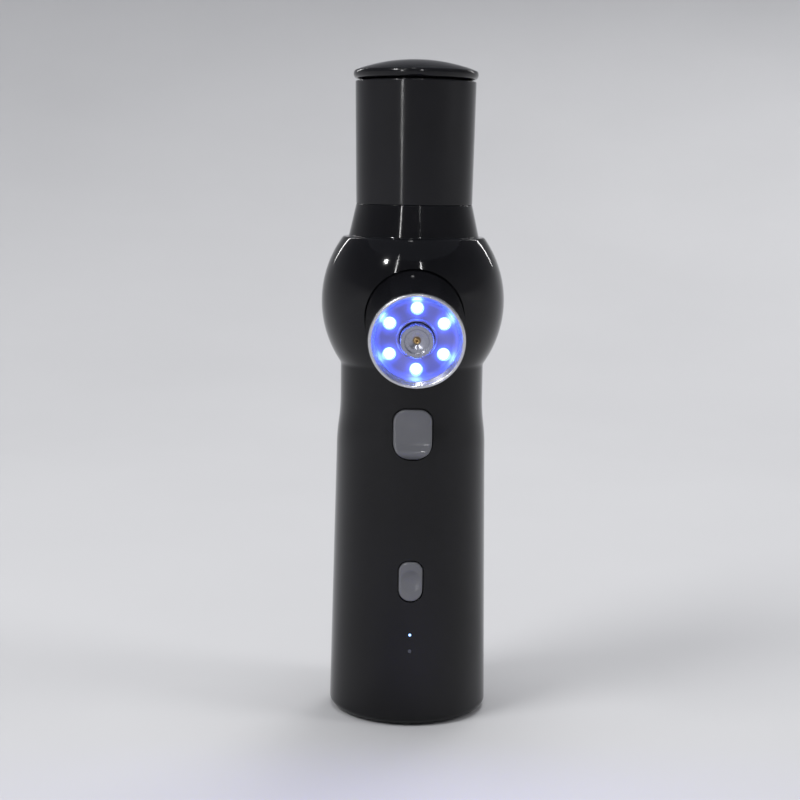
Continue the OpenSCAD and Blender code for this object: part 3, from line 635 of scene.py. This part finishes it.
def front_shell():
    section = BODY + inner_body_path()
    head = round_outline(HEAD_ROOT_R + 0.15, 120)
    window = round_outline(PIPE_R + 0.05, 20)
    cutters = [skin_rings(NOZZLE, head, flared(0.35, -5.0))]
    tunnels = []
    for shape, flange_y in ((TRIGGER, TRIGGER_FLANGE_Y), (POWER, POWER_FLANGE_Y)):
        front = facing_front(shape["z"])
        edge = button_outline(shape)
        wide = lambda grow, edge=edge: edge(BUTTON_GAP + grow)
        cutters.append(skin_rings(front, wide, flared(0.28, CUT_END)))
        end = TUNNEL_GAP - flange_y
        walls = [(TUNNEL_T, 1.0), (BUTTON_GAP, 1.0), (BUTTON_GAP, None, end), (TUNNEL_T, None, end)]
        tunnels.append(skin_rings(front, edge, walls, closed=True))
    for z in PIPE_ZS:
        cutters.append(skin_rings(facing_front(z), window, flared(0.12, CUT_END)))
    mesh = cut("front_skin", half_turned(section, -1), cutters, tunnels)
    shade(mesh, BODY)
    adopt("front_skin", mesh, "shell_black", "body", ["front_shell"])


def rear_shell():
    section = BODY + inner_body_path()
    cutters, inside = [], []
    well = round_outline(HEAD_HOLE_R, 36)
    for x, z in BOSSES:
        rear = facing_rear(x, z)
        cutters.append(skin_rings(rear, well, flared(0.3, CUT_END)))
        grow = BOSS_R - HEAD_HOLE_R
        shank = SHANK_HOLE_R - HEAD_HOLE_R
        boss = [(grow, 1.0), (0, 1.0), (0, None, BOSS_SEAT_Y), (shank, None, BOSS_SEAT_Y)]
        boss += [(shank, None, 1.0), (grow, None, 1.0)]
        inside.append(skin_rings(rear, well, boss, closed=True))
    vent = round_outline(VENT_R, 24)
    turns = [math.radians(a) for a in range(0, 360, 60)]
    spots = [(0.0, 0.0)] + [(VENT_CIRCLE_R * math.cos(a), VENT_CIRCLE_R * math.sin(a)) for a in turns]
    for x, z in spots:
        cutters.append(skin_rings(facing_rear(x, BALL_Z + z), vent, flared(0.2, SHALLOW_CUT_END)))
    port = button_outline(PORT)
    cutters.append(skin_rings(facing_rear(0, PORT["z"]), port, flared(0.3, SHALLOW_CUT_END)))
    mesh = cut("rear_skin", half_turned(section, 1), cutters, inside)
    shade(mesh, BODY)
    adopt("rear_skin", mesh, "shell_black", "body", ["rear_shell"])


def button_outline(shape):
    return lambda grow: outline(shape, grow)


def base():
    """The matt cover in the floor ring, and the rubber ring that it stands on."""
    rim_r, step_r, step_z, groove_z = FLOOR_RING_R - 0.2, 23.4, 2.8, 1.6
    path = points(
        (0.0, COVER_LOW), (GROOVE_IN, COVER_LOW), (GROOVE_IN, groove_z), (GROOVE_OUT, groove_z),
        (GROOVE_OUT, COVER_LOW), (rim_r, COVER_LOW), (rim_r, step_z), (step_r, step_z),
        (step_r, COVER_TOP), (0.0, COVER_TOP),
    )
    corners = [((GROOVE_IN, COVER_LOW), 0.15), ((GROOVE_OUT, COVER_LOW), 0.15), ((rim_r, COVER_LOW), 0.35)]
    path = soften(path, corners, 4)
    cutters = []
    for x, y in BASE_SCREWS:
        circle = round_outline(HEAD_HOLE_R, 36)
        place = Matrix.Translation((x, y, 0)) @ Matrix.Rotation(math.pi, 4, "X")
        shank = SHANK_HOLE_R - HEAD_HOLE_R
        rings = [(0.5, None, 0.0), (0.5, None, -0.45), (0.2, None, -0.8), (0.0, None, -1.05)]
        rings += [(0.0, None, -2.8), (shank, None, -2.8), (shank, None, -6.0)]
        cutters.append(skin_rings(place, circle, rings))
    mesh = cut("base_plate", turned(path), cutters)
    shade(mesh, path)
    adopt("base_plate", mesh, "base_black", "body", ["base_cover"])
    middle = (PAD_IN + PAD_OUT) / 2
    ring = points(
        (middle, PAD_H), (PAD_IN, PAD_H), (PAD_IN, 0.0), (PAD_OUT, 0.0), (PAD_OUT, PAD_H), (middle, PAD_H)
    )
    ring = soften(ring, [((PAD_IN, 0.0), 0.4), ((PAD_OUT, 0.0), 0.4)], 6)
    obj = piece("foot_pad", *turned(ring[:-1]), "rubber_black", "body", ["foot_ring"])
    shade(obj.data, ring)


# ---------------------------------------------------------------- tank and lid


def tank():
    """The slim neck: a cup with a spigot that plugs into the shells and an outlet barb under its floor."""
    floor_z, neck_r, neck_z, hollow_r, flange_r, flange_z = 172.6, 4.5, 170.8, 14.2, 17.8, 165.5
    mouth_in, low_in, low_in_z, low_z = 18.05, 17.55, 175.0, SEAM_Z + GAP
    path = points(
        (OUTLET_R, floor_z), (OUTLET_R, BARB_Z), (BARB_R, BARB_Z), (BARB_R, SPIGOT_Z), (neck_r, SPIGOT_Z),
        (neck_r, neck_z), (hollow_r, neck_z), (hollow_r, SPIGOT_Z), (flange_r, SPIGOT_Z),
        (flange_r, flange_z), (SPIGOT_R, flange_z), (SPIGOT_R, low_z), (SEAM_R, low_z), (MOUTH_R, MOUTH_Z),
        (mouth_in, MOUTH_Z), (low_in, low_in_z), (2.0, floor_z), (OUTLET_R, floor_z),
    )
    corners = [
        ((SEAM_R, low_z), 0.3),
        ((MOUTH_R, MOUTH_Z), 0.45),
        ((mouth_in, MOUTH_Z), 0.45),
        ((low_in, low_in_z), 1.5),
        ((BARB_R, BARB_Z), 0.3),
    ]
    path = soften(path, corners, 5)
    obj = piece("tank_body", *turned(path[:-1]), "tank_black", "body", ["tank"])
    shade(obj.data, path)


def lid():
    """A low dome with a rounded bead that overhangs the tank, and a skirt that goes inside it."""
    bead_z = MOUTH_Z + 0.5 + BEAD_R
    bead_x = MOUTH_R - 1.05
    rise = MOUTH_Z + CROWN_H - bead_z - BEAD_R
    crown_r = (bead_x**2 + rise**2) / (2 * rise)
    crown_z = MOUTH_Z + CROWN_H - crown_r
    edge = math.degrees(math.asin(bead_x / crown_r))
    skirt_z, groove_r, groove_low, groove_top = MOUTH_Z - SKIRT_H, 16.5, MOUTH_Z - 5.0, MOUTH_Z - 3.3
    path = points(
        (0.0, MOUTH_Z - 1.0), (SKIRT_IN, MOUTH_Z - 1.0), (SKIRT_IN, skirt_z), (SKIRT_R, skirt_z),
        (SKIRT_R, groove_low), (groove_r, groove_low), (groove_r, groove_top), (SKIRT_R, groove_top),
        (SKIRT_R, MOUTH_Z + 0.2), (bead_x - 0.6, MOUTH_Z + 0.2),
    )
    path += arc(bead_x, bead_z, BEAD_R, -90, 90, 20)
    join = path[-1].copy()
    path += arc(0.0, crown_z, crown_r, 90 - edge, 90, 40)[1:]
    path = soften(path, [((SKIRT_R, skirt_z), 0.5), (join, 1.4)], 8)
    obj = piece("lid_cap", *turned(path, closed=False), "lid_black", "lid", ["lid"])
    shade(obj.data, path)


# ---------------------------------------------------------------- nozzle head


def barrel():
    cone_s = BARREL_LOW_S + 16
    start_s, hole_r, wall_s = 30.0, 4.5, BULKHEAD_S + 2
    path = points(
        (BORE_R, start_s), (BORE_R, BARREL_LOW_S), (HEAD_ROOT_R, BARREL_LOW_S), (HEAD_ROOT_R, cone_s),
        (HEAD_R, BEZEL_S), (BORE_R, BEZEL_S), (BORE_R, wall_s), (hole_r, wall_s),
        (hole_r, BULKHEAD_S), (BORE_R, BULKHEAD_S), (BORE_R, start_s),
    )
    path = soften(path, [((HEAD_ROOT_R, cone_s), 4.0), ((HEAD_R, BEZEL_S), 0.3), ((BORE_R, BEZEL_S), 0.1)], 6)
    obj = piece("head_barrel", *turned(path[:-1]), "shell_black", "body", ["nozzle_barrel"], NOZZLE)
    shade(obj.data, path, NOZZLE)


def bezel():
    """Bright ring on the head's front edge, with a lip that leads down to the reflector."""
    bead = (HEAD_REACH - BEZEL_S) / 2
    x = HEAD_R - 0.2 - bead
    outer, inner, low_s, start_s = BORE_R - GAP, 12.86, 52.0, 54.0
    knee, lip = (13.35, BEZEL_S + 0.35), (12.72, BEZEL_S - 0.35)
    path = points((outer, start_s), (outer, BEZEL_S + GAP), (HEAD_R - 0.2, BEZEL_S + GAP))
    path += arc(x, BEZEL_S + bead, bead, 0, 150, 16)
    path += points(knee, lip, (inner, BEZEL_S - 0.55), (inner, low_s), (outer, low_s), (outer, start_s))
    path = soften(path, [(knee, 0.2), (lip, 0.08)], 4)
    obj = piece("bezel_bead", *turned(path[:-1]), "bezel_pale", "body", ["bezel_ring"], NOZZLE)
    shade(obj.data, path, NOZZLE)


def lamp_places():
    for k in range(LAMP_COUNT):
        turn = Matrix.Rotation(math.radians(90 + 360 * k / LAMP_COUNT), 4, "Z")
        yield NOZZLE @ turn @ Matrix.Translation((LAMP_CIRCLE_R, 0, 0))


def reflector():
    """Pale dish: a flat floor with a flared hole for each lamp, a collar round the nozzle and a curved wall."""
    low, floor, top = LAMP_S + GAP, DISH_FLOOR_S, DISH_TOP_S
    hole_r, outer, start_r = 5.5, 12.82, 9.0
    rim, foot, bend, wall = (5.95, floor + 0.55), (6.2, floor), (11.5, floor), (12.45, floor + 0.9)
    path = points((start_r, low), (hole_r, low), (hole_r, floor + 0.55), rim, foot, bend, wall)
    path += points((12.68, top), (outer, top), (outer, low), (start_r, low))
    path = soften(path, [(rim, 0.15), (foot, 0.25), (bend, 0.7), (wall, 0.6)], 5)
    solid_verts, solid_faces = turned(path[:-1])
    solid = ([tuple(NOZZLE @ Vector(v)) for v in solid_verts], solid_faces)
    circle = round_outline(LAMP_R + 0.15, 40)
    rings = [(0.75, None, 53.1), (0.33, None, 52.55), (0.12, None, 52.35), (0.0, None, 52.1), (0.0, None, 51.0)]
    cutters = [skin_rings(place, circle, rings) for place in lamp_places()]
    mesh = cut("reflector_dish", solid, cutters)
    shade(mesh, path, NOZZLE)
    adopt("reflector_dish", mesh, "reflector_pale", "body", ["reflector"])


def lamps():
    """Domed lamps, each with the thin flange that it stands on."""
    flange_r = LAMP_R + 0.1
    corner = (flange_r, LAMP_S + 0.3)
    path = points((0.0, LAMP_S + GAP), (flange_r, LAMP_S + GAP), corner, (LAMP_R, LAMP_S + 0.35))
    path += arc(0.0, LAMP_S + 1.2, LAMP_R, 0, 90, 12)
    path = soften(path, [(corner, 0.04)], 2)
    verts, faces = turned(path, 40, closed=False)
    parts = [([tuple(place @ Vector(v)) for v in verts], faces) for place in lamp_places()]
    obj = piece("lamp_domes", *joined(parts), "lamp_blue", "body", ["lamps"])
    shade(obj.data)


def nozzle_ring():
    """The ring that is turned to set the spray: knurled outside, stepped and hollowed in front."""
    low, front = RING_LOW_S, HEAD_REACH
    inner, pocket_r, pocket_s, jet_r = 4.6, 2.8, 53.7, 1.05
    side, edge = (RING_R, front - 0.18), (RING_R - 0.15, front)
    face, step, cone = (3.9, front), (3.6, front - 0.4), (2.7, front - 0.4)
    path = points((inner, low), (RING_R, low), side, edge, face, step, cone, (jet_r, front - 1.3))
    path += points((jet_r, front - 2.0), (pocket_r, front - 2.0), (pocket_r, pocket_s))
    path += points((inner, pocket_s), (inner, low))
    path = soften(path, [(side, 0.06), (edge, 0.06), (face, 0.12), (step, 0.1), (cone, 0.15)], 4)

    def knurl(turn, p):
        if p[0] < RING_R - 0.5 or p[1] < low + 0.5:
            return p[0]
        wave = abs(math.sin(KNURL_COUNT * turn / 2))
        return p[0] - KNURL_DEPTH * (1 - wave) ** 1.4 * min(1.0, (p[0] - RING_R + 0.5) / 0.35)

    verts, faces = turned(path[:-1], KNURL_COUNT * 10, notch=knurl)
    obj = piece("spray_ring", verts, faces, "nozzle_steel", "nozzle_ring", ["nozzle_ring"], NOZZLE)
    shade(obj.data, sharp=32)


def nozzle_tip():
    shank_r, low, seat, shoulder, cone, mouth = 0.98, 49.0, 53.0, (2.2, 54.2), (0.75, 55.75), (0.5, 55.8)
    path = points((0.0, low), (shank_r, low), (shank_r, seat), (shoulder[0], seat), shoulder, (1.6, 54.25))
    path += points(cone, mouth, (0.3, 55.6), (0.28, 54.0), (0.0, 54.0))
    path = soften(path, [(shoulder, 0.15), (cone, 0.12), (mouth, 0.08)], 4)
    obj = piece("jet", *turned(path, 64, closed=False), "bronze", "body", ["nozzle_tip"], NOZZLE)
    shade(obj.data, path, NOZZLE)


# ---------------------------------------------------------------- trigger and power button


def spline(profile, steps=400):
    """A smooth curve through (z, y) points in rising z, as a table."""
    zs, ys = np.array(profile, float).T
    slopes = np.gradient(ys, zs)
    table_z = np.linspace(zs[0], zs[-1], steps)
    k = np.clip(np.searchsorted(zs, table_z) - 1, 0, len(zs) - 2)
    h = zs[k + 1] - zs[k]
    t = (table_z - zs[k]) / h
    table_y = (2 * t**3 - 3 * t**2 + 1) * ys[k] + (t**3 - 2 * t**2 + t) * h * slopes[k]
    table_y += (3 * t**2 - 2 * t**3) * ys[k + 1] + (t**3 - t**2) * h * slopes[k + 1]
    return table_z, table_y


def pressed_part(name, shape, face_y, flange_y, rim, node, body):
    """A button: a shaped face with a rounded rim, straight sides, and a flange that keeps it in the shell."""
    rings = []

    def ring(grow, y=None, sink=0.0, shrink=1.0):
        loop = []
        for u, v in outline(shape, grow, 12):
            x, z = u * shrink, v * shrink + shape["z"]
            loop.append((x, (face_y(x, z) + sink) if y is None else y, z))
        rings.append(loop)

    back = flange_y + FLANGE_T
    ring(FLANGE_W, back)
    ring(FLANGE_W, flange_y)
    ring(0.0, flange_y)
    ring(0.0, flange_y - 0.6)
    for k in range(8):
        t = math.radians(90 * k / 7)
        ring(-rim * (1 - math.cos(t)), None, rim * (1 - math.sin(t)))
    for k in range(1, 26):
        ring(-rim, None, 0.0, 1 - k / 26)
    verts = [p for loop in rings for p in loop]
    count = len(rings[0])
    faces = []
    for k in range(len(rings) - 1):
        for j in range(count):
            b = (j + 1) % count
            faces.append((k * count + j, (k + 1) * count + j, (k + 1) * count + b, k * count + b))
    faces.append(tuple(range(count)))
    tip = len(verts)
    verts.append((0.0, face_y(0.0, shape["z"]), shape["z"]))
    last = (len(rings) - 1) * count
    faces += [(last + j, tip, last + (j + 1) % count) for j in range(count)]
    mesh = closed_mesh(name, verts, faces)
    shade(mesh, sharp=40)
    adopt(name, mesh, "button_grey", body, [node])


def trigger():
    """The finger's hollow runs down to a crease, and the lip below it stands out and turns under."""
    profile = [(89.5, -25.5), (90.2, -26.5), (91.0, -27.4), (91.9, -27.9), (92.6, -27.85), (93.3, -27.35)]
    profile += [(93.9, -26.75), (94.4, -26.3), (95.1, -25.98), (96.6, -25.55), (98.5, -25.12), (100.5, -24.85)]
    profile += [(102.5, -24.85), (104.3, -25.1), (106.0, -25.55)]
    zs, ys = spline(profile)

    def face_y(x, z):
        hollow = math.exp(-(((z - 99.0) / 4.5) ** 2))
        across = x / (TRIGGER["w"] / 2)
        return float(np.interp(z, zs, ys)) + (0.5 - 0.75 * hollow) * across**2

    pressed_part("finger_trigger", TRIGGER, face_y, TRIGGER_FLANGE_Y, 0.7, "trigger", "trigger")


def power_button():
    """Follows the handle's curve, with a round dish for the thumb."""

    def face_y(x, z):
        skin = -math.sqrt(26.2**2 - x * x)
        dish = DISH_Y - DISH_R + math.sqrt(max(0.0, DISH_R**2 - x * x - (z - POWER["z"]) ** 2))
        gap = skin - dish
        return (skin + dish + math.sqrt(gap * gap + 0.02)) / 2

    pressed_part("thumb_button", POWER, face_y, POWER_FLANGE_Y, 0.6, "power_button", "power_button")


def trigger_spring():
    """Round wire that sits between the trigger and the board."""
    sides = 10
    low, high = TRIGGER_FLANGE_Y + FLANGE_T + 0.35, SPRING_END_Y
    steps = 36 * SPRING_TURNS
    verts, faces = [], []
    for k in range(steps + 1):
        turn = 2 * math.pi * SPRING_TURNS * k / steps
        out = Vector((math.cos(turn), 0, math.sin(turn)))
        centre = SPRING_R * out + Vector((0, low + (high - low) * k / steps, TRIGGER["z"]))
        for j in range(sides):
            a = 2 * math.pi * j / sides
            verts.append(centre + SPRING_WIRE_R * (math.cos(a) * out + math.sin(a) * Vector((0, 1, 0))))
    for k in range(steps):
        for j in range(sides):
            a, b = k * sides + j, k * sides + (j + 1) % sides
            faces.append((a, b, b + sides, a + sides))
    faces += [tuple(reversed(range(sides))), tuple(steps * sides + j for j in range(sides))]
    mesh = closed_mesh("return_spring", verts, faces)
    shade(mesh, sharp=50)
    obj = adopt("return_spring", mesh, "steel_plain", "body", ["trigger_spring"])
    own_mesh(obj)


front_shell()
rear_shell()
base()
tank()
lid()
barrel()
bezel()
reflector()
lamps()
nozzle_ring()
nozzle_tip()
trigger()
power_button()
trigger_spring()

# ---------------------------------------------------------------- stage


def area_light(name, place, aim, size, power, mirrored=False, tint=(1, 1, 1)):
    """An area light. The broad ones light the scene, and only the others are mirrored in the gloss."""
    data = bpy.data.lights.new(name, "AREA")
    data.shape = "ELLIPSE"
    data.size, data.size_y = size
    data.energy = power
    data.color = tint
    lamp = bpy.data.objects.new(name, data)
    bpy.context.scene.collection.objects.link(lamp)
    lamp.visible_glossy = mirrored
    lamp.visible_diffuse = not mirrored
    lamp.visible_camera = False
    lamp.location = place
    lamp.rotation_euler = (Vector(aim) - Vector(place)).to_track_quat("-Z", "Y").to_euler()


def pale_stage():
    """A round floor that curves up into a backdrop on all sides, so that every view has the same one."""
    floor_r, bend_r, height, sides = 450, 2200, 2800, 96  # millimetres, as everywhere above
    path = [Vector((0, 0)), Vector((200, 0))]
    path += arc(floor_r, bend_r, bend_r, -90, 0, 40) + [Vector((floor_r + bend_r, height))]
    verts, faces = turned(path, sides, closed=False)
    mesh = bpy.data.meshes.new("pale_floor")
    mesh.from_pydata([Vector(v) * MM for v in verts], [], faces)
    mesh.polygons.foreach_set("use_smooth", [True] * len(mesh.polygons))
    floor = bpy.data.objects.new("pale_floor", mesh)
    bpy.context.scene.collection.objects.link(floor)
    paint = plastic("pale_floor", (0.47, 0.47, 0.48), (0.49, 0.49, 0.50), 0.9, 0.1, 300, 0.02, 3)
    paint.put(Specular_IOR_Level=0.0)
    mesh.materials.append(paint.material)


def studio():
    world = bpy.data.worlds.new("studio")
    world.use_nodes = True
    background = world.node_tree.nodes["Background"]
    background.inputs["Color"].default_value = (0.86, 0.9, 1.0, 1)
    background.inputs["Strength"].default_value = 0.3
    bpy.context.scene.world = world
    centre = (0, 0, 0.11)
    collar = (0, 0, 0.15)
    area_light("key", (-1.0, -0.7, 1.25), centre, (0.7, 0.7), 16)
    area_light("fill", (1.3, -0.4, 1.0), centre, (0.5, 0.9), 7)
    area_light("top", (0.0, 0.15, 1.8), centre, (1.1, 1.1), 18)
    area_light("back", (0.5, 1.2, 1.2), centre, (0.8, 0.8), 9)
    area_light("strip_left", (-0.40, -0.80, 0.52), collar, (0.014, 1.0), 1.9, True)
    area_light("strip_right", (0.17, -0.95, 0.80), collar, (0.012, 0.4), 1.5, True)
    area_light("rim_left", (-0.9, 1.1, 0.85), centre, (0.03, 0.9), 1.8, True)
    area_light("rim_right", (1.0, 1.0, 0.85), centre, (0.03, 0.9), 1.8, True)
    area_light("spark_left", (-0.75, -0.75, 1.05), centre, (0.07, 0.07), 6.0, True)
    area_light("spark_top", (-0.08, -0.45, 1.4), centre, (0.12, 0.04), 0.6, True)
    bpy.context.scene.view_settings.view_transform = "Standard"


def lamp_spill():
    """The blue light that the lamps throw forward on to the floor."""
    place, aim = (NOZZLE @ Vector((0, 0, HEAD_REACH + reach)) * MM for reach in (1, 100))
    area_light("lamp_spill", place, aim, (0.022, 0.022), 0.10, tint=(0.10, 0.06, 1.0))


def photo_camera():
    """Stands where the outline says that the photo was taken: level with the tank, looking a little down."""
    distance, height = 0.545, 0.1845
    azimuth, pitch = math.radians(-1.5), math.radians(-8.25)
    aim_left, roll = math.radians(0.4), math.radians(0.81)
    data = bpy.data.cameras.new("camera")
    data.sensor_width = 36.0
    data.lens = 73.35
    data.clip_start = 0.01
    camera = bpy.data.objects.new("camera", data)
    bpy.context.scene.collection.objects.link(camera)
    camera.location = (distance * math.sin(azimuth), -distance * math.cos(azimuth), height)
    aim = Matrix.Rotation(azimuth + aim_left, 4, "Z") @ Matrix.Rotation(math.pi / 2 + pitch, 4, "X")
    camera.rotation_euler = (aim @ Matrix.Rotation(roll, 4, "Z")).to_euler()
    bpy.context.scene.camera = camera


pale_stage()
studio()
lamp_spill()
photo_camera()
